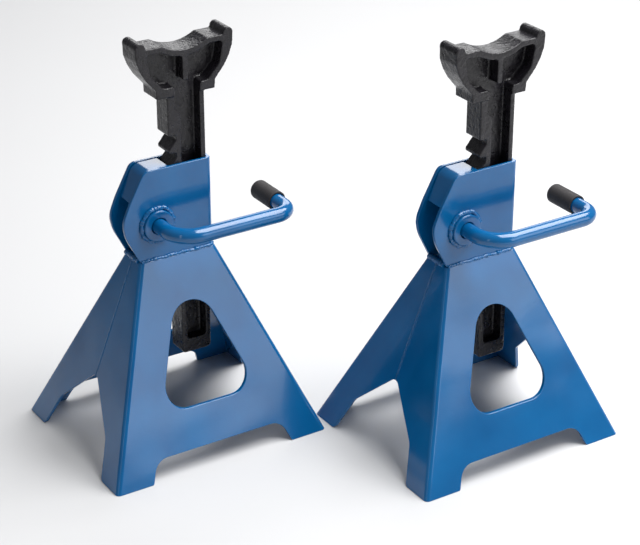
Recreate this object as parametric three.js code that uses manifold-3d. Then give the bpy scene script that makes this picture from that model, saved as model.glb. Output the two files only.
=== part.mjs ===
// A pair of ratchet jack stands. Millimetres, +Z up, the floor at z = 0.
import * as THREE from "three";
import { mergeVertices } from "three/addons/utils/BufferGeometryUtils.js";
import Module from "manifold-3d";

const wasm = await Module();
wasm.setup();

// ---- driving dimensions ----
const gap = 0.3; // between pieces that touch in the real thing
const sheet = 3; // plate thickness of base and neck

const base = {
  width: 200, depth: 168, height: 164, // outside, at the floor
  topWidth: 70, topDepth: 29, // outside, at the neck
  bend: 4, // outside radius of the folded corners
  footInner: 65.9, archHalf: 58.9, archHeight: 17.3, archRound: 14,
  holeHalf: 45.6, holeBottom: 48.5, holeTop: 128, holeLowRound: 17, holeTopRound: 20.4,
  flangeFoot: 54, flangeKnee: 41.5, kneeHeight: 30.2, notchTop: 67.6,
  kneeRound: 14, notchRound: 7,
};
const neck = {
  bottom: base.height + gap, top: 243,
  halfDepth: 13.2, right: 33.8, bend: 4,
};
const column = {
  left: -3, right: 30.4, halfDepth: 9.8,
  bottom: 68, block: 266.9, // underside of the plain block above the teeth
  pitch: 15, teeth: 10, toothDepth: 7, toothTip: 3, toothRoot: 4,
  webFront: 0.2, webRear: 5.8, // the web's faces, in y
  rightFlange: 4, leftFlange: 4.7, blockFlange: 6.5, flangeStep: 284, foot: 12,
};
const head = {
  middle: 13.4, halfDepth: 11.5, bottom: 301, ledge: 26.5,
  shoulder: 344.6, dipHalf: 20.5, dipDepth: 5.8, // top face and the dip for a round axle
  lipX: 39.3, lipZ: 345.5, lipR: 4.5,
};
const shaft = {
  x: -18, z: 195, radius: 6.5, rear: 16.5,
  armY: -50, armEnd: 88, gripEnd: 2, firstBend: 22, secondBend: 14,
};
const grip = { inner: 6.85, outer: 8.4, length: 28, cap: 2.8 };
const bushing = { outer: 13.3, bore: 6.95, proud: 4.6, weld: 16.9 };
const pawl = { hub: 11, halfWidth: 9.7, lifted: 11.34, pinRadius: 2 };
const stands = { left: [-103, 70], right: [103, -70] };

// ---- materials ----
const bluePaint = { color: 0x0a5a9c, metalness: 0.1, roughness: 0.25 };
const blackIron = { color: 0x1c1b1f, metalness: 0.4, roughness: 0.5 };
const rubber = { color: 0x1d1b1c, metalness: 0, roughness: 0.85 };
const zinc = { color: 0xb8bcc0, metalness: 0.9, roughness: 0.35 };

// ---- solids ----
function toSolid(geometry) {
  const plain = geometry.index ? geometry.toNonIndexed() : geometry.clone();
  for (const name of Object.keys(plain.attributes)) {
    if (name !== "position") plain.deleteAttribute(name);
  }
  const merged = mergeVertices(plain, 1e-4);
  const solid = (triangles) => new wasm.Manifold(new wasm.Mesh({
    numProp: 3,
    vertProperties: new Float32Array(merged.attributes.position.array),
    triVerts: new Uint32Array(triangles),
  }));
  const found = solid(merged.index.array);
  return found.volume() > 0 ? found : solid([...merged.index.array].reverse());
}

function toGeometry(solid) {
  const mesh = solid.getMesh();
  const geometry = new THREE.BufferGeometry();
  geometry.setAttribute("position", new THREE.BufferAttribute(mesh.vertProperties, 3));
  geometry.setIndex(new THREE.BufferAttribute(mesh.triVerts, 1));
  geometry.computeVertexNormals();
  return geometry;
}

// Corners are [u, v] or [u, v, radius]; a radius becomes an arc of the given steps.
function outline(corners, steps = 4) {
  const points = [];
  corners.forEach(([u, v, radius], i) => {
    const here = new THREE.Vector2(u, v);
    if (!radius) return points.push(here);
    const before = new THREE.Vector2(...corners.at(i - 1)).sub(here).normalize();
    const after = new THREE.Vector2(...corners[(i + 1) % corners.length]).sub(here).normalize();
    const half = Math.acos(before.dot(after)) / 2;
    const centre = here.clone().add(
      before.clone().add(after).normalize().multiplyScalar(radius / Math.sin(half)),
    );
    const start = here.clone().addScaledVector(before, radius / Math.tan(half)).sub(centre);
    const turn = Math.sign(after.cross(before)) * (Math.PI - 2 * half);
    for (let k = 0; k <= steps; k++) {
      points.push(start.clone().rotateAround(new THREE.Vector2(), (turn * k) / steps).add(centre));
    }
  });
  return new THREE.Shape(points);
}

function arc(cx, cz, radius, from, to, steps) {
  return Array.from({ length: steps + 1 }, (_, k) => {
    const angle = THREE.MathUtils.degToRad(from + ((to - from) * k) / steps);
    return [cx + radius * Math.cos(angle), cz + radius * Math.sin(angle)];
  });
}

const extrude = (shape, depth) => new THREE.ExtrudeGeometry(shape, { depth, bevelEnabled: false });

// Outline in x, z swept along y.
function alongY(shape, y0, y1) {
  return toSolid(extrude(shape, y1 - y0).rotateX(Math.PI / 2).translate(0, y1, 0));
}

// Outline in y, z swept along x.
function alongX(shape, x0, x1) {
  return toSolid(extrude(shape, x1 - x0).rotateX(Math.PI / 2).rotateZ(Math.PI / 2).translate(x0, 0, 0));
}

// Outline in x, y swept along z.
function alongZ(shape, z0, z1) {
  return toSolid(extrude(shape, z1 - z0).translate(0, 0, z0));
}

function box(x0, x1, y0, y1, z0, z1) {
  const shape = new THREE.BoxGeometry(x1 - x0, y1 - y0, z1 - z0);
  return toSolid(shape.translate((x0 + x1) / 2, (y0 + y1) / 2, (z0 + z1) / 2));
}

// Round bar along y through (x, z).
function rod(x, z, radius, y0, y1, sides = 24) {
  const bar = new THREE.CylinderGeometry(radius, radius, y1 - y0, sides);
  return toSolid(bar.translate(x, (y0 + y1) / 2, z));
}

// Profile of [radius, along] turned about the line through (x, z) that runs along y.
function turned(profile, x, z, sides = 24) {
  const closed = [...profile, profile[0]].map(([r, along]) => new THREE.Vector2(r, along));
  return toSolid(new THREE.LatheGeometry(closed, sides).translate(x, 0, z));
}

// Rings of matching points, skinned one to the next and capped at both ends.
function skin(rings) {
  const count = rings[0].length;
  const index = [];
  for (let r = 0; r + 1 < rings.length; r++) {
    for (let i = 0; i < count; i++) {
      const [a, b] = [r * count + i, r * count + ((i + 1) % count)];
      index.push(a, b, b + count, a, b + count, a + count);
    }
  }
  const last = (rings.length - 1) * count;
  for (let i = 1; i + 1 < count; i++) {
    index.push(0, i + 1, i, last, last + i, last + i + 1);
  }
  const geometry = new THREE.BufferGeometry();
  geometry.setAttribute("position", new THREE.Float32BufferAttribute(rings.flat(2), 3));
  geometry.setIndex(index);
  return toSolid(geometry);
}

// ---- base ----
const sideRun = (base.width - base.topWidth) / 2 / base.height; // lean of the sides
const frontRun = (base.depth - base.topDepth) / 2 / base.height; // lean of the front

function frustum(inset, bend, z0, z1) {
  const ring = (z) => {
    const x = base.width / 2 - sideRun * z - inset * Math.hypot(1, sideRun);
    const y = base.depth / 2 - frontRun * z - inset * Math.hypot(1, frontRun);
    const corners = [[x, y, bend], [-x, y, bend], [-x, -y, bend], [x, -y, bend]];
    return outline(corners).getPoints().map((p) => [p.x, p.y, z]);
  };
  return skin([ring(z0), ring(z1)]);
}

function baseShells() {
  const b = base;
  const walls = frustum(0, b.bend, 0, b.height)
    .subtract(frustum(sheet, b.bend - sheet, -1, b.height + 1));
  const foot = (b.footInner - b.archHalf) / b.archHeight;
  const arch = outline([
    [-b.footInner - foot, -1], [b.footInner + foot, -1],
    [b.archHalf, b.archHeight, b.archRound], [-b.archHalf, b.archHeight, b.archRound],
  ]);
  const topHalf = b.holeHalf - sideRun * (b.holeTop - b.holeBottom);
  const hole = outline([
    [-b.holeHalf, b.holeBottom, b.holeLowRound], [b.holeHalf, b.holeBottom, b.holeLowRound],
    [topHalf, b.holeTop, b.holeTopRound], [-topHalf, b.holeTop, b.holeTopRound],
  ], 6);
  const flange = (b.flangeFoot - b.flangeKnee) / b.kneeHeight;
  const notch = outline([
    [-b.flangeFoot - flange, -1], [b.flangeFoot + flange, -1],
    [b.flangeKnee, b.kneeHeight, b.kneeRound], [0, b.notchTop, b.notchRound],
    [-b.flangeKnee, b.kneeHeight, b.kneeRound],
  ]);
  const cut = walls
    .subtract(alongY(arch, -b.depth, b.depth))
    .subtract(alongY(hole, -b.depth, b.depth))
    .subtract(alongX(notch, -b.width, b.width));
  const side = (y0, y1) => box(-b.width, b.width, y0, y1, -1, b.height + 1);
  return [cut.intersect(side(-b.depth, -gap / 2)), cut.intersect(side(gap / 2, b.depth))];
}

// Low bead up the seam between the shells, on the side given by sign.
function seamWeld(sign) {
  const stand = gap * Math.hypot(1, sideRun);
  const section = [[0, 2.2], [1, 1.2], [1, -1.2], [0, -2.2]]; // out from the side, y
  const ring = (z) => section.map(([out, y]) => {
    const x = base.width / 2 - sideRun * z + stand + out;
    return [x * sign, y * sign, z];
  });
  return skin([ring(base.notchTop + 7), ring(base.height - 4)]);
}

// ---- neck ----
const outside = 20; // past both cheeks, in y
const innerHalf = neck.halfDepth - sheet - gap; // for the plates between the cheeks
const columnPlay = 1.2; // between the column's teeth and the plates beside them
const shaftBore = () => rod(shaft.x, shaft.z, bushing.bore, -outside, outside);

function neckHousing() {
  const n = neck;
  const cheek = outline([
    [-34.3, n.bottom], [n.right + 1, n.bottom], [n.right + 1, n.top], [-27.8, n.top, 8],
    [-42.5, 216, 70], [-48.8, 201, 20], [-46.4, 188, 36],
  ], 5);
  const outer = outline([
    [-60, -n.halfDepth], [n.right, -n.halfDepth, n.bend],
    [n.right, n.halfDepth, n.bend], [-60, n.halfDepth],
  ], 5);
  const halfIn = n.halfDepth - sheet;
  const inner = outline([
    [-61, -halfIn], [n.right - sheet, -halfIn, n.bend - sheet],
    [n.right - sheet, halfIn, n.bend - sheet], [-61, halfIn],
  ], 5);
  return alongZ(outer, n.bottom, n.top)
    .subtract(alongZ(inner, n.bottom - 1, n.top + 1))
    .intersect(alongY(cheek, -outside, outside))
    .subtract(shaftBore());
}

function neckCap() {
  const top = neck.top - 0.6;
  const mouth = column.left - columnPlay;
  const strip = outline([
    [mouth, top], [-27.2, top, 10], [-39, 216.5],
    [-36.2, 215.4], [-25.3, top - sheet, 7], [mouth, top - sheet],
  ]);
  return alongY(strip, -innerHalf, innerHalf);
}

function neckBaseWeld() {
  const { bottom, right, halfDepth, bend } = neck;
  const section = [
    [gap, bottom], [3.2, bottom], [3.1, bottom + 1.4], [2, bottom + 3.2], [gap, bottom + 4.2],
  ];
  const [start, x, y] = [-33.5, right - bend, halfDepth - bend];
  const quarter = Math.PI / 2;
  const rings = [];
  const place = (cx, cy, angle) => rings.push(section.map(([out, z]) => [
    cx + (bend + out) * Math.cos(angle), cy + (bend + out) * Math.sin(angle), z,
  ]));
  place(start, -y, -quarter);
  for (let k = 0; k <= 4; k++) place(x, -y, quarter * (k / 4 - 1));
  for (let k = 0; k <= 4; k++) place(x, y, quarter * (k / 4));
  place(start, y, quarter);
  return skin(rings);
}

function neckSideWeld() {
  const { bottom } = neck;
  const bead = outline([
    [-33.4, bottom], [-31.8, bottom + 1.6], [-32.6, bottom + 3.8],
    [-35, bottom + 4.2], [-37, bottom + 2.4], [-37.2, bottom],
  ]);
  return alongY(bead, -innerHalf, innerHalf);
}

function guideStrip() {
  const x1 = column.left - columnPlay;
  return box(x1 - sheet, x1, -innerHalf, innerHalf, neck.bottom + 1, neck.bottom + 15);
}

// side -1 is the front cheek, +1 the rear one.
function bushingRing(side) {
  const y0 = neck.halfDepth + gap;
  const y1 = neck.halfDepth + bushing.proud;
  const { outer, bore } = bushing;
  return turned([
    [bore, side * y0], [outer, side * y0], [outer, side * (y1 - 0.8)],
    [outer - 0.8, side * y1], [bore + 0.6, side * y1], [bore, side * (y1 - 0.6)],
  ], shaft.x, shaft.z, 28);
}

function bushingWeld(side) {
  const foot = neck.halfDepth + gap;
  const inner = bushing.outer + gap;
  return turned([
    [inner, side * foot], [bushing.weld, side * foot], [bushing.weld - 0.5, side * (foot + 1.2)],
    [inner + 1.2, side * (foot + 2.8)], [inner, side * (foot + 3)],
  ], shaft.x, shaft.z, 24);
}

// ---- column ----
function ratchetColumn() {
  const c = column;
  const h = head;
  const root = c.left + c.toothDepth;
  const lowest = c.block - c.pitch * c.teeth;
  const teeth = []; // down the left side, each notch from its shelf
  for (let k = 0; k < c.teeth; k++) {
    const shelf = c.block - c.pitch * k;
    teeth.push([c.left, shelf, 1.2], [root, shelf, 1], [root, shelf - c.toothRoot],
      [c.left, shelf - c.pitch + c.toothTip]);
  }
  const blade = outline([
    [c.left + 2, c.bottom], [c.right - 2, c.bottom], [c.right, c.bottom + 2], [c.right, h.bottom + 2],
    [c.left, h.bottom + 2], ...teeth, [c.left, lowest], [c.left, c.bottom + 2],
  ], 2);
  const right = c.right - c.rightFlange;
  const pocket = outline([
    [root + c.leftFlange, c.bottom + c.foot, 3], [right, c.bottom + c.foot, 3],
    [right, h.bottom + 10], [c.left + c.blockFlange, h.bottom + 10],
    [c.left + c.blockFlange, c.flangeStep + 6, 2], [root + c.leftFlange, c.flangeStep, 4],
  ], 3);
  const round = outline([
    [c.left, -c.halfDepth, 0.8], [c.right, -c.halfDepth, 1.6],
    [c.right, c.halfDepth, 1.6], [c.left, c.halfDepth, 0.8],
  ], 2);
  return alongY(blade, -c.halfDepth, c.halfDepth)
    .intersect(alongZ(round, c.bottom - 1, h.bottom + 5))
    .add(headSolid())
    .subtract(alongY(pocket, -h.halfDepth - 1, c.webFront))
    .subtract(alongY(pocket, c.webRear, h.halfDepth + 1));
}

function headSolid() {
  const h = head;
  const bowl = [
    [h.ledge + 0.2, 308.5], [30.2, 312.6], [35.4, 318.8], [40.1, 326.8], [43.3, 335.6],
  ];
  const radius = (h.dipHalf ** 2 + h.dipDepth ** 2) / (2 * h.dipDepth);
  const swing = THREE.MathUtils.radToDeg(Math.asin(h.dipHalf / radius));
  const dip = arc(0, h.shoulder - h.dipDepth + radius, radius, -90 + swing, -90 - swing, 12);
  const lip = arc(h.lipX, h.lipZ, h.lipR, -15, 180, 8);
  const half = [[h.ledge, h.bottom], ...bowl, ...lip, [h.lipX - h.lipR, h.shoulder]];
  const mirrored = half.map(([x, z]) => [-x, z]).reverse();
  const shift = ([x, z]) => [x + h.middle, z];
  const rim = [...half, ...dip, ...mirrored].map(shift).map((p) => new THREE.Vector2(...p));
  const pocket = (side) => {
    const corners = [
      [2.4, 311, 2], [19.5, 309, 6], [31, 321, 12], [34.6, 340, 3], [22, 339.6, 8],
      [11, 334.6, 20], [2.4, 333.4, 2],
    ].map(([x, z, r]) => [side * x + h.middle, z, r]);
    return outline(side > 0 ? corners : corners.reverse(), 3);
  };
  let solid = alongY(new THREE.Shape(rim), -h.halfDepth, h.halfDepth);
  for (const side of [-1, 1]) {
    solid = solid
      .subtract(alongY(pocket(side), -h.halfDepth - 1, column.webFront))
      .subtract(alongY(pocket(side), column.webRear, h.halfDepth + 1));
  }
  return solid;
}

// ---- handle ----
// Across the shaft and the pawl's hub, clear of the pawl's finger.
function crossPin(radius, length) {
  const pin = new THREE.CylinderGeometry(radius, radius, length, 16);
  pin.rotateZ(Math.PI / 2).rotateY(THREE.MathUtils.degToRad(40));
  return toSolid(pin.translate(shaft.x, 0, shaft.z));
}

const pinHole = () => crossPin(pawl.pinRadius + gap, 4 * pawl.hub);

function handleBar() {
  const s = shaft;
  const path = [[s.x, s.rear, -1, 0]]; // x, y and the direction across the bar
  const bend = (cx, cy, radius, from, to) => {
    for (const [x, y] of arc(cx, cy, radius, from, to, 7)) {
      path.push([x, y, (x - cx) / radius, (y - cy) / radius]);
    }
  };
  bend(s.x + s.firstBend, s.armY + s.firstBend, s.firstBend, 180, 270);
  bend(s.armEnd - s.secondBend, s.armY + s.secondBend, s.secondBend, -90, 0);
  path.push([s.armEnd, s.gripEnd, 1, 0]);
  const rings = path.map(([x, y, nx, ny]) => arc(0, 0, s.radius, 0, 337.5, 15)
    .map(([out, up]) => [x + nx * out, y + ny * out, s.z + up]));
  return skin(rings).subtract(pinHole());
}

function handleGrip() {
  const end = shaft.gripEnd;
  const { inner, outer, length, cap } = grip;
  const profile = [
    [0, end + gap], [inner, end + gap], [inner, end - length], [outer - 0.5, end - length],
    [outer, end + 0.6 - length], [outer, end + cap - 1.2], [outer - 1.2, end + cap], [0, end + cap],
  ].map(([r, y]) => new THREE.Vector2(r, y));
  return toSolid(new THREE.LatheGeometry(profile, 24).translate(shaft.armEnd, 0, shaft.z));
}

function pawlSolid() {
  const p = pawl;
  const finger = [[19.5, 23], [14.1, 14.6], [11, 6]]; // in the tooth, from the shaft's axis
  const back = [[-8, 7.5], [11.5, 22.6]];
  const hub = arc(0, 0, p.hub, 0, -222, 11);
  const lift = THREE.MathUtils.degToRad(p.lifted);
  const corners = [...finger, ...hub, ...back].map(([x, z]) => {
    const point = new THREE.Vector2(x, z).rotateAround(new THREE.Vector2(), lift);
    return point.add(new THREE.Vector2(shaft.x, shaft.z));
  });
  return alongY(new THREE.Shape(corners), -p.halfWidth, p.halfWidth)
    .subtract(shaftBore())
    .subtract(pinHole());
}

// ---- assembly ----
const group = new THREE.Group();
group.name = "axle_jack_stands";

const [frontShell, rearShell] = baseShells();
const pieces = {
  front_shell: [frontShell, bluePaint],
  rear_shell: [rearShell, bluePaint],
  left_seam_weld: [seamWeld(-1), bluePaint],
  right_seam_weld: [seamWeld(1), bluePaint],
  neck_housing: [neckHousing(), bluePaint],
  neck_cap: [neckCap(), bluePaint],
  neck_base_weld: [neckBaseWeld(), bluePaint],
  neck_side_weld: [neckSideWeld(), bluePaint],
  guide_strip: [guideStrip(), bluePaint],
  front_bushing: [bushingRing(-1), bluePaint],
  rear_bushing: [bushingRing(1), bluePaint],
  front_bushing_weld: [bushingWeld(-1), bluePaint],
  rear_bushing_weld: [bushingWeld(1), bluePaint],
  ratchet_column: [ratchetColumn(), blackIron],
  pawl: [pawlSolid(), bluePaint],
  pawl_pin: [crossPin(pawl.pinRadius, 2 * pawl.hub - 1.4), zinc],
  handle_bar: [handleBar(), bluePaint],
  handle_grip: [handleGrip(), rubber],
};

for (const [side, [x, y]] of Object.entries(stands)) {
  for (const [name, [solid, look]] of Object.entries(pieces)) {
    const mesh = new THREE.Mesh(toGeometry(solid), new THREE.MeshStandardMaterial(look));
    mesh.geometry.translate(x, y, 0);
    mesh.name = `${side}_${name}`;
    group.add(mesh);
  }
}

export default group;
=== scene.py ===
import math

import bmesh
import bpy
from mathutils import Matrix, Vector


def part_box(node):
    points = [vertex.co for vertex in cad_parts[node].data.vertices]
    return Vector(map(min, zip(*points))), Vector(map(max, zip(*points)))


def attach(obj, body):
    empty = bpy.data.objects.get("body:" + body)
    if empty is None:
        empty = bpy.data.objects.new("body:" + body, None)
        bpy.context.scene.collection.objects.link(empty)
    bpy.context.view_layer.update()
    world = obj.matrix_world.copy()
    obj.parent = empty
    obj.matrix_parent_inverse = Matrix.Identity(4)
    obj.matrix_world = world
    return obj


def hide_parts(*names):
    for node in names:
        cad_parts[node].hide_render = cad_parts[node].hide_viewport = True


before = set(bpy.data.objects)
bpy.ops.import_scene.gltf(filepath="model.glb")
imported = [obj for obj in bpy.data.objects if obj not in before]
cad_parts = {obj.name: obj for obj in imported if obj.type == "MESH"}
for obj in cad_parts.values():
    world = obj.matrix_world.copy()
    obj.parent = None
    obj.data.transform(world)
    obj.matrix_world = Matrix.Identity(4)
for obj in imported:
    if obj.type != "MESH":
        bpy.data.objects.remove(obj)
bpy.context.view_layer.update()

# ---- Base: front and rear sheets ----
# Two sheets of 3 mm steel, each blanked with its arch, its window and two feet, then folded down
# both sides so that its flanges meet the other's halfway along the stand. They are sprayed, like
# nearly all the stand's steel, with gloss blue enamel over the slow waves that the press leaves.
MM = 0.001
PLATE = 3.0
HEIGHT = 164.0
BEND = 4.0  # outside radius of the folds
JOINT_GAP = 0.15  # from the joint line to each sheet
foot_half = Vector((100.0, 84.0))  # half width and half depth on the floor
neck_half = Vector((35.0, 14.5))  # and under the neck
lean = (foot_half - neck_half) / HEIGHT
wall = Vector((math.hypot(1, lean.x), math.hypot(1, lean.y))) * PLATE  # level thickness
arch = {"foot": 65.9, "foot_round": 2, "half": 58.9, "height": 17.3, "round": 14}
window = {"half": 45.6, "low": 48.5, "high": 128, "low_round": 17, "top_round": 20.38}
flange = {
    "foot": 54, "foot_round": 5, "knee": 41.5, "knee_height": 30.2, "knee_round": 14,
    "notch": 67.6, "notch_round": 7,
}


def outline(corners, steps=8):
    """Points along straight edges whose corners are (u, v), or (u, v, radius) for a rounded one."""
    points = []
    for i, (u, v, *radius) in enumerate(corners):
        here = Vector((u, v))
        if not radius:
            points.append(here)
            continue
        before = (Vector(corners[i - 1][:2]) - here).normalized()
        after = (Vector(corners[(i + 1) % len(corners)][:2]) - here).normalized()
        half = before.angle(after) / 2
        centre = here + (before + after).normalized() * (radius[0] / math.sin(half))
        start = here + before * (radius[0] / math.tan(half)) - centre
        turn = math.copysign(math.pi - 2 * half, after.cross(before))
        points += [centre + Matrix.Rotation(turn * k / steps, 2) @ start for k in range(steps + 1)]
    return points


def corner_at(z, turn):
    """Outer and inner points round the left front fold, from its front (0) to its side (1)."""
    half = foot_half - lean * z
    swing = math.radians(-90 - 90 * turn)
    reach = Vector((math.cos(swing), math.sin(swing)))
    pair = []
    for inset, radius in ((Vector((0, 0)), BEND), (wall, BEND - PLATE)):
        middle = half - inset - Vector((radius, radius))
        pair.append((reach.x * radius - middle.x, reach.y * radius - middle.y, z))
    return tuple(pair)


def front_point(x, z):
    """Outer and inner points on the sloping front."""
    y = foot_half.y - lean.y * z
    return (x, -y, z), (x, wall.y - y, z)


def side_point(y, z):
    """Outer and inner points on the left flange."""
    x = foot_half.x - lean.x * z
    return (-x, y, z), (wall.x - x, y, z)


def fold_strips(corner, low, high, steps=8):
    """The faces of a rounded fold, from corner(z, 0) to corner(z, 1)."""
    strips = []
    for k in range(steps):
        a, b = k / steps, (k + 1) / steps
        strips.append([corner(low, a), corner(low, b), corner(high, b), corner(high, a)])
    return strips


def sheet_panels():
    """The left half of the front sheet as faces of matching outer and inner points."""
    top_half = window["half"] - lean.x * (window["high"] - window["low"])
    window_edge = outline([
        (0, window["high"]), (-top_half, window["high"], window["top_round"]),
        (-window["half"], window["low"], window["low_round"]), (0, window["low"]),
    ], 14)
    foot_edge = outline([
        (0, arch["height"]), (-arch["half"], arch["height"], arch["round"]),
        (-arch["foot"], 0, arch["foot_round"]), (-foot_half.x, 0),
    ])
    front = [front_point(*p) for p in window_edge + foot_edge[:-1]]
    front += [corner_at(0, 0), corner_at(HEIGHT, 0), front_point(0, HEIGHT)]
    flange_edge = outline([
        (-foot_half.y, 0), (-flange["foot"], 0, flange["foot_round"]),
        (-flange["knee"], flange["knee_height"], flange["knee_round"]),
        (0, flange["notch"], flange["notch_round"]), (flange["knee"], flange["knee_height"]),
    ])
    flange_edge = [p for p in flange_edge[1:] if p.x < -JOINT_GAP]
    notch_top = max(p.y for p in flange_edge)
    side = [side_point(*p) for p in flange_edge]
    side += [side_point(-JOINT_GAP, notch_top), side_point(-JOINT_GAP, HEIGHT)]
    side += [corner_at(HEIGHT, 1), corner_at(0, 1)]
    return [front, side] + fold_strips(corner_at, 0, HEIGHT)


def mirrored(panels, x, y):
    """The same faces with their x and y multiplied by 1 or -1."""
    return [[tuple((px * x, py * y, pz) for px, py, pz in pair) for pair in p] for p in panels]


def into_scene(name, data):
    """A new object with that mesh, light or camera."""
    thing = bpy.data.objects.new(name, data)
    bpy.context.scene.collection.objects.link(thing)
    return thing


def body_of(name, corners, faces):
    """A closed body from corners in millimetres and faces that give the corners by number."""
    shape = bmesh.new()
    for corner in corners:
        shape.verts.new(Vector(corner) * MM)
    shape.verts.ensure_lookup_table()
    for face in faces:
        shape.faces.new([shape.verts[i] for i in face]).smooth = True
    bmesh.ops.remove_doubles(shape, verts=shape.verts, dist=0.01 * MM)
    bmesh.ops.recalc_face_normals(shape, faces=shape.faces)
    mesh = bpy.data.meshes.new(name)
    shape.to_mesh(mesh)
    shape.free()
    return into_scene(name, mesh)


def plate_body(name, panels):
    """Plate with an outer and an inner skin, its cut edges closed all round."""
    numbers, outer, inner, faces, uses = {}, [], [], [], {}
    for panel in panels:
        face = []
        for outside, inside in panel:
            key = tuple(round(c, 3) for c in outside)
            if key not in numbers:
                numbers[key] = len(outer)
                outer.append(outside)
                inner.append(inside)
            face.append(numbers[key])
        faces.append(face)
        for edge in zip(face, face[1:] + face[:1]):
            uses.setdefault(frozenset(edge), []).append(edge)
    count = len(outer)
    rim = [(b, a, a + count, b + count) for (a, b), *more in uses.values() if not more]
    return body_of(name, outer + inner, faces + [[i + count for i in f] for f in faces] + rim)


def finished(body):
    """The body's mesh with its modifiers worked in; the body itself is put away."""
    bpy.context.view_layer.update()
    graph = bpy.context.evaluated_depsgraph_get()
    mesh = bpy.data.meshes.new_from_object(body.evaluated_get(graph))
    bpy.data.objects.remove(body)
    return mesh


def soften(body, width, angle=30, flats=True):
    """Edges sharper than the angle rounded over the width, and flat faces shaded flat."""
    edge = body.modifiers.new("soft edges", "BEVEL")
    edge.width = width * MM
    edge.segments = 3
    edge.limit_method = "ANGLE"
    edge.angle_limit = math.radians(angle)
    if flats:
        body.modifiers.new("even shading", "WEIGHTED_NORMAL")
    return finished(body)


class Finish:
    """A material whose shader is fed by noise that stays fixed to the piece."""

    def __init__(self, name):
        self.material = bpy.data.materials.new(name)
        self.material.use_nodes = True
        self.nodes = self.material.node_tree.nodes
        self.links = self.material.node_tree.links
        self.shader = self.nodes["Principled BSDF"].inputs
        self.place = self.nodes.new("ShaderNodeTexCoord").outputs["Object"]

    def grain(self, per_metre, detail=3.0):
        """Noise with that many features to the metre."""
        noise = self.nodes.new("ShaderNodeTexNoise")
        noise.inputs["Scale"].default_value = per_metre
        noise.inputs["Detail"].default_value = detail
        self.links.new(self.place, noise.inputs["Vector"])
        return noise.outputs["Fac"]

    def spread(self, value, low, high, start=0.3, stop=0.7):
        """The value from start to stop carried to low to high."""
        ramp = self.nodes.new("ShaderNodeMapRange")
        self.links.new(value, ramp.inputs["Value"])
        for socket, number in zip(ramp.inputs[1:5], (start, stop, low, high)):
            socket.default_value = number
        return ramp.outputs["Result"]

    def colour(self, value, first, second):
        """The colour, from first to second as the value goes from 0 to 1."""
        ramp = self.nodes.new("ShaderNodeValToRGB")
        ramp.color_ramp.elements[0].color = (*first, 1)
        ramp.color_ramp.elements[1].color = (*second, 1)
        self.links.new(value, ramp.inputs["Fac"])
        self.links.new(ramp.outputs["Color"], self.shader["Base Color"])

    def roughness(self, value, low, high):
        """The roughness, from low to high with the value."""
        self.links.new(self.spread(value, low, high), self.shader["Roughness"])

    def relief(self, *layers):
        """Bumps laid one on another, each a height value and its depth in metres."""
        normal = None
        for height, depth in layers:
            bump = self.nodes.new("ShaderNodeBump")
            bump.inputs["Strength"].default_value = 1
            bump.inputs["Distance"].default_value = depth
            self.links.new(height, bump.inputs["Height"])
            if normal:
                self.links.new(normal, bump.inputs["Normal"])
            normal = bump.outputs["Normal"]
        self.links.new(normal, self.shader["Normal"])


blue_enamel = Finish("blue_enamel")
deep_blue = (0.0008, 0.088, 0.255)
thin_blue = (0.0022, 0.118, 0.32)
thin_and_thick = blue_enamel.grain(22)
dust = blue_enamel.grain(1500, detail=2)
press_waves = blue_enamel.grain(14, detail=1)
orange_peel = blue_enamel.grain(650, detail=1)
blue_enamel.colour(blue_enamel.spread(thin_and_thick, 0, 1), deep_blue, thin_blue)
blue_enamel.roughness(dust, 0.11, 0.17)
blue_enamel.relief((press_waves, 2 * MM), (orange_peel, 0.035 * MM))
blue_enamel.shader["Coat Weight"].default_value = 0.2
blue_enamel.shader["Coat Roughness"].default_value = 0.04

# Two stands of one pattern stand side by side. A piece is drawn in millimetres about the middle
# of one stand, and set down at both places.
stands = {}
for side in ("left", "right"):
    lowest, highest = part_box(f"{side}_front_shell")
    stands[side] = Vector(((lowest.x + highest.x) / 2, highest.y + JOINT_GAP * MM, 0))


def set_on_stands(mesh, piece, node, body="frame", finish=blue_enamel):
    """A copy on each stand, in place of the plain node, moving with the stand's body."""
    mesh.materials.clear()
    mesh.materials.append(finish.material)
    for side, middle in stands.items():
        own = mesh.copy()
        own.transform(Matrix.Translation(middle))
        placed = into_scene(f"{side}_{piece}", own)
        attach(placed, f"{side}_{body}")
        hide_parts(f"{side}_{node}")


half_sheet = sheet_panels()
for end, turn in (("front", 1), ("rear", -1)):
    whole_sheet = mirrored(half_sheet, 1, turn) + mirrored(half_sheet, -1, turn)
    sheet = soften(plate_body(f"{end}_draft", whole_sheet), width=0.6)
    set_on_stands(sheet, f"{end}_sheet", f"{end}_shell")

# ---- Weld beads of the base ----
# Both seams between the sheets are closed by a run of MIG weld laid by hand and painted over.
# A bead is a row of frozen ripples of uneven width.
seam = {"inset": 1.3, "low": flange["notch"] + 2, "high": HEIGHT - 2}
bead_make = {"step": 0.7, "sides": 14, "lumps_per_metre": 260.0}


def new_tree(name, inputs):
    """An empty tree with those inputs, and the sockets at its two ends."""
    tree = bpy.data.node_groups.new(name, "GeometryNodeTree")
    tree.interface.new_socket("Geometry", in_out="INPUT", socket_type="NodeSocketGeometry")
    for label, kind in inputs.items():
        tree.interface.new_socket(label, in_out="INPUT", socket_type=f"NodeSocket{kind}")
    tree.interface.new_socket("Geometry", in_out="OUTPUT", socket_type="NodeSocketGeometry")
    given = tree.nodes.new("NodeGroupInput").outputs
    return tree, given, tree.nodes.new("NodeGroupOutput").inputs["Geometry"]


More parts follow.
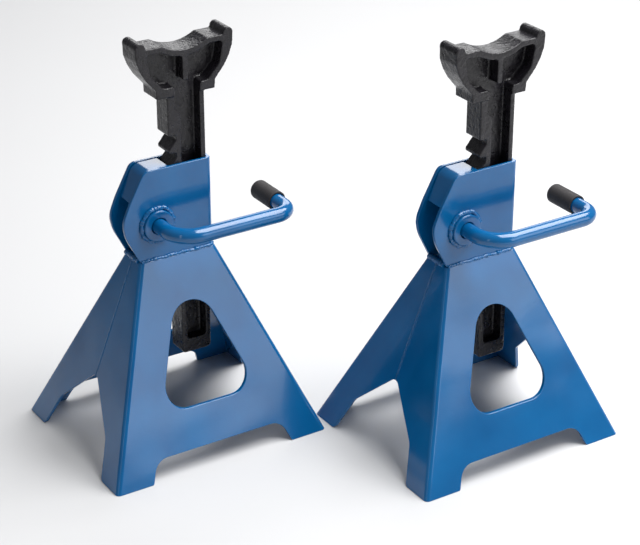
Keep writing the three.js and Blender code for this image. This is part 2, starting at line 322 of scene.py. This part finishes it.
def add(tree, kind, *wires, settings=None, take=0, **labelled):
    """One output of a new node, whose sockets are wired or set in order or by their labels."""
    node = tree.nodes.new(kind)
    for key, value in (settings or {}).items():
        setattr(node, key, value)
    sockets = [(node.inputs[i], wire) for i, wire in enumerate(wires)]
    sockets += [(node.inputs[label.replace("_", " ")], wire) for label, wire in labelled.items()]
    for socket, wire in sockets:
        if isinstance(wire, bpy.types.NodeSocket):
            tree.links.new(wire, socket)
        else:
            socket.default_value = wire
    return node.outputs[take]


def maths(tree, operation, a, b=0):
    """The output of a math node."""
    return add(tree, "ShaderNodeMath", a, b, settings={"operation": operation})


def uneven(tree, seed, per_metre, height):
    """Smooth noise about zero, of that height."""
    noise = add(
        tree, "ShaderNodeTexNoise", settings={"noise_dimensions": "4D"},
        W=seed, Scale=per_metre, Detail=2,
    )
    return maths(tree, "MULTIPLY", maths(tree, "SUBTRACT", noise, 0.5), height)


def raised(tree, geometry, rise):
    """The surface moved out along its normals."""
    normal = add(tree, "GeometryNodeInputNormal")
    offset = add(tree, "ShaderNodeVectorMath", normal, settings={"operation": "SCALE"}, Scale=rise)
    return add(tree, "GeometryNodeSetPosition", Geometry=geometry, Offset=offset)


def close_tree(tree, geometry, material, made):
    """The last two nodes of every tree: instances made real, and the material set."""
    real = add(tree, "GeometryNodeRealizeInstances", Geometry=geometry)
    tree.links.new(add(tree, "GeometryNodeSetMaterial", Geometry=real, Material=material), made)


def run_tree(body, tree, **values):
    """The tree as the body's last modifier, its inputs set by their labels."""
    modifier = body.modifiers.new(tree.name, "NODES")
    modifier.node_group = tree
    for item in tree.interface.items_tree:
        label = item.name.replace(" ", "_")
        if item.in_out == "INPUT" and label in values:
            modifier[item.identifier] = values[label]
    return body


def path_body(name, points, closed=False):
    """A line of edges through points in millimetres."""
    mesh = bpy.data.meshes.new(name)
    edges = [(i, i + 1) for i in range(len(points) - 1)]
    if closed:
        edges.append((len(points) - 1, 0))
    mesh.from_pydata([Vector(p) * MM for p in points], edges, [])
    return into_scene(name, mesh)


bead_tree, given, made = new_tree("weld_bead", {
    "Width": "Float", "Step": "Float", "Sides": "Int", "Ripple pitch": "Float",
    "Ripple height": "Float", "Lump height": "Float", "Lumps per metre": "Float",
    "Seed": "Float", "Material": "Material",
})
line = add(bead_tree, "GeometryNodeMeshToCurve", Mesh=given["Geometry"])
line = add(
    bead_tree, "GeometryNodeResampleCurve", settings={"mode": "LENGTH"},
    Curve=line, Length=given["Step"],
)
mark = bead_tree.nodes.new("GeometryNodeCaptureAttribute")
mark.capture_items.new("FLOAT", "run")
bead_tree.links.new(line, mark.inputs[0])
bead_tree.links.new(add(bead_tree, "GeometryNodeSplineParameter", take="Length"), mark.inputs[1])
bead_radius = maths(bead_tree, "MULTIPLY", given["Width"], 0.5)
section = add(
    bead_tree, "GeometryNodeCurvePrimitiveCircle", Resolution=given["Sides"], Radius=bead_radius
)
tube = add(
    bead_tree, "GeometryNodeCurveToMesh",
    Curve=mark.outputs[0], Profile_Curve=section, Fill_Caps=True,
)
phase = maths(bead_tree, "DIVIDE", mark.outputs[1], given["Ripple pitch"])
wave = maths(bead_tree, "SINE", maths(bead_tree, "MULTIPLY", phase, math.tau))
ripple = maths(bead_tree, "MULTIPLY", wave, given["Ripple height"])
lump = uneven(bead_tree, given["Seed"], given["Lumps per metre"], given["Lump height"])
bead = raised(bead_tree, tube, maths(bead_tree, "ADD", ripple, lump))
bead = add(bead_tree, "GeometryNodeSetShadeSmooth", Geometry=bead)
close_tree(bead_tree, bead, given["Material"], made)


def weld(name, points, width, pitch, height, lumps, seed, closed=False):
    """A painted bead along points, with ripples of a pitch and height, and lumps on them."""
    return finished(run_tree(
        path_body(name, points, closed), bead_tree, Width=width * MM,
        Step=bead_make["step"] * MM, Sides=bead_make["sides"], Ripple_pitch=pitch * MM,
        Ripple_height=height * MM, Lump_height=lumps * MM,
        Lumps_per_metre=bead_make["lumps_per_metre"], Seed=seed, Material=blue_enamel.material,
    ))


for end, turn in (("left", -1), ("right", 1)):
    seam_line = [
        (turn * (foot_half.x - lean.x * z - seam["inset"]), 0, z)
        for z in (seam["low"], seam["high"])
    ]
    seam_bead = weld(
        f"{end}_seam_draft", seam_line, width=3.4, pitch=3.1, height=0.08, lumps=0.5, seed=3.0 + turn
    )
    set_on_stands(seam_bead, f"{end}_seam_bead", f"{end}_seam_weld")

# ---- Neck plate ----
# One 3 mm plate bent into a U round the column: two cheeks with a lobe for the crank shaft, and
# the wall behind the column. Its foot stands on the base, where it is welded.
neck = {"low": 164.3, "top": 243, "half": 13.2, "right": 33.8}
shaft = {"x": -18.0, "z": 195.0, "radius": 6.5, "bore": 6.95}
cheek = [
    (shaft["x"], neck["top"]), (-27.8, neck["top"], 8), (-42.5, 216, 70), (-48.8, 201, 20),
    (-46.4, 188, 36), (-34.3, neck["low"]), (shaft["x"], neck["low"]),
]
bend_x = neck["right"] - BEND


def swung(u, v, radius, start, stop, steps):
    """Points about the centre (u, v), from start to stop in degrees."""
    angles = [math.radians(start + (stop - start) * k / steps) for k in range(steps + 1)]
    return [(u + radius * math.cos(a), v + radius * math.sin(a)) for a in angles]


def bore_edge(start, stop):
    """Points round the shaft's bore in a cheek."""
    return swung(shaft["x"], shaft["z"], shaft["bore"], start, stop, 20)


def cheek_point(x, z):
    """Outer and inner points on the front cheek."""
    return (x, -neck["half"], z), (x, PLATE - neck["half"], z)


def neck_corner(z, turn):
    """Outer and inner points round the front bend, from the cheek (0) to the wall (1)."""
    swing = math.radians(-90 + 90 * turn)
    centre = Vector((bend_x, BEND - neck["half"]))
    reach = Vector((math.cos(swing), math.sin(swing)))
    return tuple((*(centre + reach * radius), z) for radius in (BEND, BEND - PLATE))


lobe = [cheek_point(*p) for p in outline(cheek, 10) + bore_edge(270, 90)]
beside_column = [cheek_point(*p) for p in reversed(bore_edge(-90, 90))] + [
    cheek_point(shaft["x"], neck["low"]), neck_corner(neck["low"], 0),
    neck_corner(neck["top"], 0), cheek_point(shaft["x"], neck["top"]),
]
half_neck = [lobe, beside_column] + fold_strips(neck_corner, neck["low"], neck["top"])
wall_foot = neck_corner(neck["low"], 1)
wall_top = neck_corner(neck["top"], 1)
back_wall = [wall_foot, wall_top] + mirrored([[wall_top, wall_foot]], 1, -1)[0]
whole_neck = half_neck + mirrored(half_neck, 1, -1) + [back_wall]
set_on_stands(soften(plate_body("neck_draft", whole_neck), width=0.6), "neck_plate", "neck_housing")

# ---- Cap and guide plates ----
# A narrow strip of plate is bent over between the cheeks and welded along both edges, to close
# the top of the neck and the pawl's back. A short strip low down guides the column's teeth.
between = neck["half"] - PLATE - 0.3  # half the space between the cheeks
cap_top = neck["top"] - 0.6
mouth = -4.2  # the strips' edges beside the teeth
cap = [
    (mouth, cap_top), (-27.2, cap_top, 10), (-39, 216.5),
    (-36.2, 215.4), (-25.3, cap_top - PLATE, 7), (mouth, cap_top - PLATE),
]
guide_low = neck["low"] + 1
guide_high = guide_low + 14
guide = [
    (mouth - PLATE, guide_low), (mouth, guide_low), (mouth, guide_high), (mouth - PLATE, guide_high),
]


def cut_plate(name, shape, y0, y1):
    """Outline in x and z cut right through from y0 to y1."""
    count = len(shape)
    corners = [(p[0], y, p[1]) for y in (y0, y1) for p in shape]
    faces = [range(count), range(count, 2 * count)]
    faces += [(i, (i + 1) % count, count + (i + 1) % count, count + i) for i in range(count)]
    return body_of(name, corners, faces)


cap_body = cut_plate("cap_draft", outline(cap), -between, between)
set_on_stands(soften(cap_body, width=0.5), "cap_plate", "neck_cap")
guide_body = cut_plate("guide_draft", outline(guide), -between, between)
set_on_stands(soften(guide_body, width=0.4), "guide_plate", "guide_strip")

# ---- Welds of the neck ----
# A thin, broken bead joins the foot of the neck to the top edge of the base on three sides. A
# fatter, lumpy one fills the space between the cheeks where the neck is open.
bead_off = 0.4  # from the cheek's face to the middle of the bead
foot_bead = {"left": -33.5, "z": neck["low"] + 0.3}
side_bead = {"x": -34.6, "z": neck["low"] + 1}
round_foot = [(foot_bead["left"], -neck["half"] - bead_off)]
for sign, start in ((-1, -90), (1, 0)):
    round_foot += swung(bend_x, sign * (neck["half"] - BEND), BEND + bead_off, start, start + 90, 8)
round_foot.append((foot_bead["left"], neck["half"] + bead_off))
foot_mesh = weld(
    "foot_bead_draft", [(x, y, foot_bead["z"]) for x, y in round_foot],
    width=2.4, pitch=2.6, height=0.18, lumps=3.4, seed=7.0,
)
set_on_stands(foot_mesh, "neck_foot_bead", "neck_base_weld")
across = [(side_bead["x"], sign * (between + bead_off), side_bead["z"]) for sign in (-1, 1)]
side_mesh = weld(
    "side_bead_draft", across, width=5.6, pitch=3.4, height=0.4, lumps=3.0, seed=9.0
)
set_on_stands(side_mesh, "neck_side_bead", "neck_side_weld")

# ---- Bearing rings ----
# A turned steel ring on each cheek carries the crank shaft. It is welded on all round its edge
# with a ragged bead, and painted with the rest.
ring = {"outer": 13.3, "gap": 0.3, "proud": 4.6, "bead": 14.4, "bead_off": 0.5}


def turned(name, profile, x, z, sides=64):
    """Closed profile of (radius, along y) turned about the line through x and z."""
    count = len(profile)
    corners = []
    for k in range(sides):
        swing = math.tau * k / sides
        corners += [(x + r * math.cos(swing), y, z + r * math.sin(swing)) for r, y in profile]
    faces = []
    for k in range(sides):
        here, there = k * count, (k + 1) % sides * count
        for i in range(count):
            j = (i + 1) % count
            if profile[i][0] or profile[j][0]:  # an edge along the axis sweeps no face
                faces.append([here + i, here + j, there + j, there + i])
    return body_of(name, corners, faces)


for end, turn in (("front", -1), ("rear", 1)):
    near = neck["half"] + ring["gap"]
    far = neck["half"] + ring["proud"]
    ring_profile = outline([
        (shaft["bore"], near), (ring["outer"], near), (ring["outer"], far, 1.1),
        (shaft["bore"], far, 0.9),
    ], 4)
    ring_profile = [(r, turn * y) for r, y in ring_profile]
    ring_body = turned(f"{end}_ring_draft", ring_profile, shaft["x"], shaft["z"])
    set_on_stands(soften(ring_body, width=0.2, angle=40), f"{end}_ring", f"{end}_bushing")
    circle = swung(shaft["x"], shaft["z"], ring["bead"], 0, 360, 60)[:-1]
    ring_bead = weld(
        f"{end}_ring_bead_draft",
        [(x, turn * (neck["half"] + ring["bead_off"]), z) for x, z in circle],
        width=4.2, pitch=2.4, height=0.25, lumps=4.2, seed=11.0 + turn, closed=True,
    )
    set_on_stands(ring_bead, f"{end}_ring_bead", f"{end}_bushing_weld")

# ---- Toothed column ----
# One casting of ductile iron: a ribbed bar with ratchet teeth down its left edge, a plain block
# above them and a saddle head whose dip takes an axle. It is cast in sand, tumbled and sprayed
# semi-gloss black, so the sand's grain shows through the paint over the dents of the mould.
column = {
    "left": -3.0, "right": 30.4, "half": 9.8, "low": 68.0, "block": 266.9, "pitch": 15.0,
    "teeth": 10, "depth": 7.0, "tip": 3.0, "root": 4.0, "web": (0.2, 5.8), "foot": 12.0,
    "right_flange": 4.0, "left_flange": 4.7, "block_flange": 6.5, "step": 284.0,
}
head = {
    "x": 13.4, "half": 11.5, "low": 301.0, "ledge": 26.5, "shoulder": 344.6,
    "dip_half": 20.5, "dip": 5.8,
}
lip = {"x": 39.3, "z": 345.5, "round": 4.5}
rib = {"half": 2.4, "low": 313.0, "top": 333.4}
casting_skin = {"voxel": 0.8, "grain": 3.2, "height": 0.25}
root_x = column["left"] + column["depth"]
pocket_x = (root_x + column["left_flange"], column["right"] - column["right_flange"])
block_x = column["left"] + column["block_flange"]
pocket_low = column["low"] + column["foot"]
bar_top = head["low"] + 2

black_iron = Finish("black_iron")
deep_black = (0.006, 0.0052, 0.0072)
thin_black = (0.014, 0.0125, 0.017)
thin_spots = black_iron.grain(150, detail=4)
dents = black_iron.grain(60, detail=2)
pits = black_iron.grain(320, detail=3)
sand = black_iron.grain(900, detail=2)
black_iron.colour(black_iron.spread(thin_spots, 0, 1, 0.35, 0.75), deep_black, thin_black)
black_iron.roughness(pits, 0.24, 0.4)
black_iron.relief((dents, 0.7 * MM), (pits, 0.7 * MM), (sand, 0.2 * MM))

# The bar's rim is one bent outline: up the toothed side, over the block, and back inside it.
rim = outline([
    (root_x, column["low"], 1.5), (column["right"], column["low"], 3), (column["right"], bar_top),
    (pocket_x[1], bar_top), (pocket_x[1], pocket_low, 3), (pocket_x[0], pocket_low, 3),
    (pocket_x[0], column["step"], 4), (block_x, column["step"] + 6, 2), (block_x, bar_top),
    (column["left"], bar_top), (column["left"], column["block"], 1.2),
    (root_x, column["block"], 1),
], 5)
bar = outline([
    (root_x, column["low"], 1.5), (column["right"], column["low"], 3), (column["right"], bar_top),
    (column["left"], bar_top), (column["left"], column["block"], 1.2),
    (root_x, column["block"], 1),
], 5)

# The saddle from its right ledge up the bowl and over the lip, along the dip, and down again.
bowl = [(head["ledge"] + 0.2, 308.5), (30.2, 312.6), (35.4, 318.8), (40.1, 326.8), (43.3, 335.6)]
dip_radius = (head["dip_half"] ** 2 + head["dip"] ** 2) / (2 * head["dip"])
dip_swing = math.degrees(math.asin(head["dip_half"] / dip_radius))
dip_middle = head["shoulder"] - head["dip"] + dip_radius
right_edge = [(head["ledge"], head["low"])] + bowl
right_edge += swung(lip["x"], lip["z"], lip["round"], -15, 180, 14)
right_edge.append((lip["x"] - lip["round"], head["shoulder"]))
dip_edge = swung(0, dip_middle, dip_radius, -90 + dip_swing, -90 - dip_swing, 24)
saddle = right_edge + dip_edge + [(-x, z) for x, z in reversed(right_edge)]

# The saddle's rim again as one outline, round both pockets and the short rib between them.
right_pocket = [
    (rib["half"], rib["low"], 1.5), (rib["half"], rib["top"], 2), (11, 334.6, 20),
    (22, 339.6, 8), (34.6, 340, 3), (31, 321, 12), (19.5, 309, 6),
    (pocket_x[1] - head["x"], 309, 2), (pocket_x[1] - head["x"], head["low"]),
]
left_pocket = [
    (block_x - head["x"], head["low"]), (block_x - head["x"], 309, 2), (-19.5, 309, 6),
    (-31, 321, 12), (-34.6, 340, 3), (-22, 339.6, 8), (-11, 334.6, 20),
    (-rib["half"], rib["top"], 2), (-rib["half"], rib["low"], 1.5),
]
saddle_rim = outline(left_pocket + right_pocket + saddle)


def on_column(points):
    """Points drawn about the saddle's middle, carried to the column's."""
    return [(p[0] + head["x"], p[1]) for p in points]


tooth_low = column["block"] - column["pitch"]  # the level underside of the top tooth
tooth = outline([
    (root_x + 1, tooth_low), (column["left"], tooth_low, 1.2),
    (column["left"], tooth_low + column["tip"], 0.8),
    (root_x, column["block"] - column["root"]), (root_x + 1, column["block"] - column["root"]),
], 4)
teeth_tree, given, made = new_tree("ratchet_teeth", {
    "Count": "Int", "Pitch": "Float", "Material": "Material",
})
drop = add(
    teeth_tree, "ShaderNodeCombineXYZ", Z=maths(teeth_tree, "MULTIPLY", given["Pitch"], -1)
)
places = add(teeth_tree, "GeometryNodeMeshLine", Count=given["Count"], Offset=drop)
row = add(teeth_tree, "GeometryNodeInstanceOnPoints", Points=places, Instance=given["Geometry"])
close_tree(teeth_tree, row, given["Material"], made)

skin_tree, given, made = new_tree("sand_cast_skin", {
    "Grain size": "Float", "Grain height": "Float", "Seed": "Float", "Material": "Material",
})
grains_per_metre = maths(skin_tree, "DIVIDE", 1, given["Grain size"])
rough = uneven(skin_tree, given["Seed"], grains_per_metre, given["Grain height"])
cast = raised(skin_tree, given["Geometry"], rough)
close_tree(skin_tree, cast, given["Material"], made)


def joined(name, bodies):
    """One body of several that still overlap."""
    whole = bmesh.new()
    for body in bodies:
        whole.from_mesh(finished(body))
    mesh = bpy.data.meshes.new(name)
    whole.to_mesh(mesh)
    whole.free()
    return into_scene(name, mesh)


casting = joined("casting_draft", [
    cut_plate("rim_draft", rim, -column["half"], column["half"]),
    cut_plate("web_draft", bar, *column["web"]),
    cut_plate("saddle_rim_draft", on_column(saddle_rim), -head["half"], head["half"]),
    cut_plate("saddle_web_draft", on_column(saddle), *column["web"]),
    run_tree(
        cut_plate("tooth_draft", tooth, -column["half"], column["half"]), teeth_tree,
        Count=column["teeth"], Pitch=column["pitch"] * MM, Material=black_iron.material,
    ),
])
fuse = casting.modifiers.new("one casting", "REMESH")
fuse.mode = "VOXEL"
fuse.voxel_size = casting_skin["voxel"] * MM
fuse.use_smooth_shade = True
tumble = casting.modifiers.new("tumbled", "SMOOTH")
tumble.factor = 0.5
tumble.iterations = 1
run_tree(
    casting, skin_tree, Grain_size=casting_skin["grain"] * MM,
    Grain_height=casting_skin["height"] * MM, Seed=4.0, Material=black_iron.material,
)
set_on_stands(
    finished(casting), "toothed_column", "ratchet_column", "column", black_iron
)

# ---- Pawl and its pin ----
# A flame-cut steel finger on the crank shaft inside the neck, held by a pin right through both.
# It is painted with the neck, and stands just clear of the teeth until the crank swings down.
pawl = {"hub": 11.0, "half": 9.7, "lifted": 11.34}
cross_pin = {"radius": 2.0, "half": pawl["hub"] - 0.7, "chamfer": 0.4, "turn": 40}
finger = [(19.5, 23), (14.1, 14.6), (11, 6)]
heel = [(-8, 7.5), (11.5, 22.6)]
lift = Matrix.Rotation(math.radians(pawl["lifted"]), 2)
shaft_place = Vector((shaft["x"], shaft["z"]))
pawl_shape = finger + swung(0, 0, pawl["hub"], 0, -222, 30) + heel
pawl_shape = [lift @ Vector(p) + shaft_place for p in pawl_shape]
pawl_body = cut_plate("pawl_draft", pawl_shape, -pawl["half"], pawl["half"])
set_on_stands(soften(pawl_body, width=0.5), "pawl_finger", "pawl", "handle")

zinc = Finish("bright_zinc")
flow = zinc.grain(400)
zinc.colour(flow, (0.46, 0.47, 0.48), (0.66, 0.67, 0.68))
zinc.roughness(flow, 0.25, 0.42)
zinc.shader["Metallic"].default_value = 0.95
pin_profile = outline([
    (0, -cross_pin["half"]), (cross_pin["radius"], -cross_pin["half"], cross_pin["chamfer"]),
    (cross_pin["radius"], cross_pin["half"], cross_pin["chamfer"]), (0, cross_pin["half"]),
], 3)
pin_body = turned("pin_draft", pin_profile, 0, 0, 24)
pin_body.data.transform(
    Matrix.Translation(Vector((shaft["x"], 0, shaft["z"])) * MM)
    @ Matrix.Rotation(math.radians(-cross_pin["turn"]), 4, "Y")
    @ Matrix.Rotation(math.radians(90), 4, "Z")
)
set_on_stands(finished(pin_body), "pawl_cross_pin", "pawl_pin", "handle", zinc)

# ---- Crank ----
# Half-inch round bar, bent cold: through the neck as the shaft, out, across the front of the
# stand and back, with its end left to be gripped. The shaft's own end is faced and chamfered.
crank = {
    "rear": 16.5, "arm_y": -50.0, "end_x": 88.0, "end_y": 2.0, "first_bend": 22.0,
    "second_bend": 14.0, "chamfer": 0.9,
}
first_centre = (shaft["x"] + crank["first_bend"], crank["arm_y"] + crank["first_bend"])
second_centre = (crank["end_x"] - crank["second_bend"], crank["arm_y"] + crank["second_bend"])
route = [(shaft["x"], crank["rear"])]
route += swung(*first_centre, crank["first_bend"], 180, 270, 28)
route += swung(*second_centre, crank["second_bend"], -90, 0, 24)
route.append((crank["end_x"], crank["end_y"]))
bar_tree, given, made = new_tree("bent_round_bar", {
    "Radius": "Float", "Sides": "Int", "Material": "Material",
})
line = add(bar_tree, "GeometryNodeMeshToCurve", Mesh=given["Geometry"])
section = add(
    bar_tree, "GeometryNodeCurvePrimitiveCircle", Resolution=given["Sides"], Radius=given["Radius"]
)
bent = add(bar_tree, "GeometryNodeCurveToMesh", Curve=line, Profile_Curve=section, Fill_Caps=True)
bent = add(bar_tree, "GeometryNodeSetShadeSmooth", Geometry=bent)
close_tree(bar_tree, bent, given["Material"], made)
crank_body = run_tree(
    path_body("crank_draft", [(x, y, shaft["z"]) for x, y in route]), bar_tree,
    Radius=shaft["radius"] * MM, Sides=64, Material=blue_enamel.material,
)
crank_mesh = soften(crank_body, width=crank["chamfer"], angle=60, flats=False)
set_on_stands(crank_mesh, "crank_bar", "handle_bar", "handle")

# ---- Grip ----
# A short sleeve of black rubber, dipped at its end and pushed over the crank. It is matt, a
# little dusty, and closed over the end of the bar.
grip = {"inner": 6.85, "outer": 8.4, "length": 28.0, "cap": 2.8}
grip_floor = crank["end_y"] + 0.3  # the inside of the closed end
grip_mouth = crank["end_y"] - grip["length"]
grip_end = crank["end_y"] + grip["cap"]
rubber = Finish("black_rubber")
smears = rubber.grain(45)
powder = rubber.grain(700)
rubber.colour(smears, (0.017, 0.015, 0.016), (0.034, 0.031, 0.032))
rubber.roughness(powder, 0.62, 0.82)
rubber.relief((powder, 0.12 * MM))
grip_profile = outline([
    (0, grip_floor), (grip["inner"], grip_floor), (grip["inner"], grip_mouth),
    (grip["outer"], grip_mouth, 0.6), (grip["outer"], grip_end, 2.2), (0, grip_end),
], 6)
grip_body = turned("grip_draft", grip_profile, crank["end_x"], shaft["z"], 48)
set_on_stands(finished(grip_body), "crank_grip", "handle_grip", "handle", rubber)

# ---- Floor, light and camera ----
# A pale floor under a big soft light overhead, with weaker ones to the front right and behind,
# as in a small product studio. The left has only a narrow strip, so the left sides fall into shade.
floor_half = 8
floor_paint = Finish("pale_floor")
floor_paint.colour(floor_paint.grain(1.5, detail=2), (0.63, 0.63, 0.635), (0.65, 0.65, 0.655))
floor_paint.shader["Roughness"].default_value = 0.8
floor_mesh = bpy.data.meshes.new("floor")
floor_corners = [(-1, -1), (1, -1), (1, 1), (-1, 1)]
floor_mesh.from_pydata(
    [(x * floor_half, y * floor_half, 0) for x, y in floor_corners], [], [(0, 1, 2, 3)]
)
floor_mesh.materials.append(floor_paint.material)
into_scene("floor", floor_mesh)

world = bpy.data.worlds.new("studio")
bpy.context.scene.world = world
world.use_nodes = True
world.node_tree.nodes["Background"].inputs["Color"].default_value = (0.95, 0.97, 1, 1)
world.node_tree.nodes["Background"].inputs["Strength"].default_value = 0.2


def softbox(name, place, target_z, width, height, power):
    """A soft light in metres and watts, aimed at the middle of the pair at that height."""
    light = bpy.data.lights.new(name, "AREA")
    light.shape = "RECTANGLE"
    light.size = width
    light.size_y = height
    light.energy = power
    lamp = into_scene(name, light)
    lamp.location = place
    aim = Vector((0, 0, target_z)) - Vector(place)
    lamp.rotation_euler = aim.to_track_quat("-Z", "Y").to_euler()


softbox("overhead", (0.75, -0.3, 1.7), 0, width=1.5, height=1.3, power=60)
softbox("front_right", (1.1, -1.75, 0.85), 0.15, width=1.5, height=0.9, power=10.5)
softbox("behind_right", (1.0, 1.5, 0.95), 0.3, width=1.3, height=0.6, power=9)
softbox("left_strip", (-1.7, -0.9, 0.7), 0.2, width=0.12, height=1.2, power=1.3)
bpy.context.scene.view_settings.view_transform = "Standard"  # keeps the blue at full strength

look_down = 25.39  # degrees below level
look_right = 32.36  # degrees from straight along y
camera = bpy.data.cameras.new("camera")
camera.sensor_width = 36
camera.lens = 108.1
camera.shift_y = -0.0508
view = into_scene("camera", camera)
view.location = (-0.7667, -1.2092, 0.8526)
view.rotation_euler = (math.radians(90 - look_down), 0, math.radians(-look_right))
bpy.context.scene.camera = view
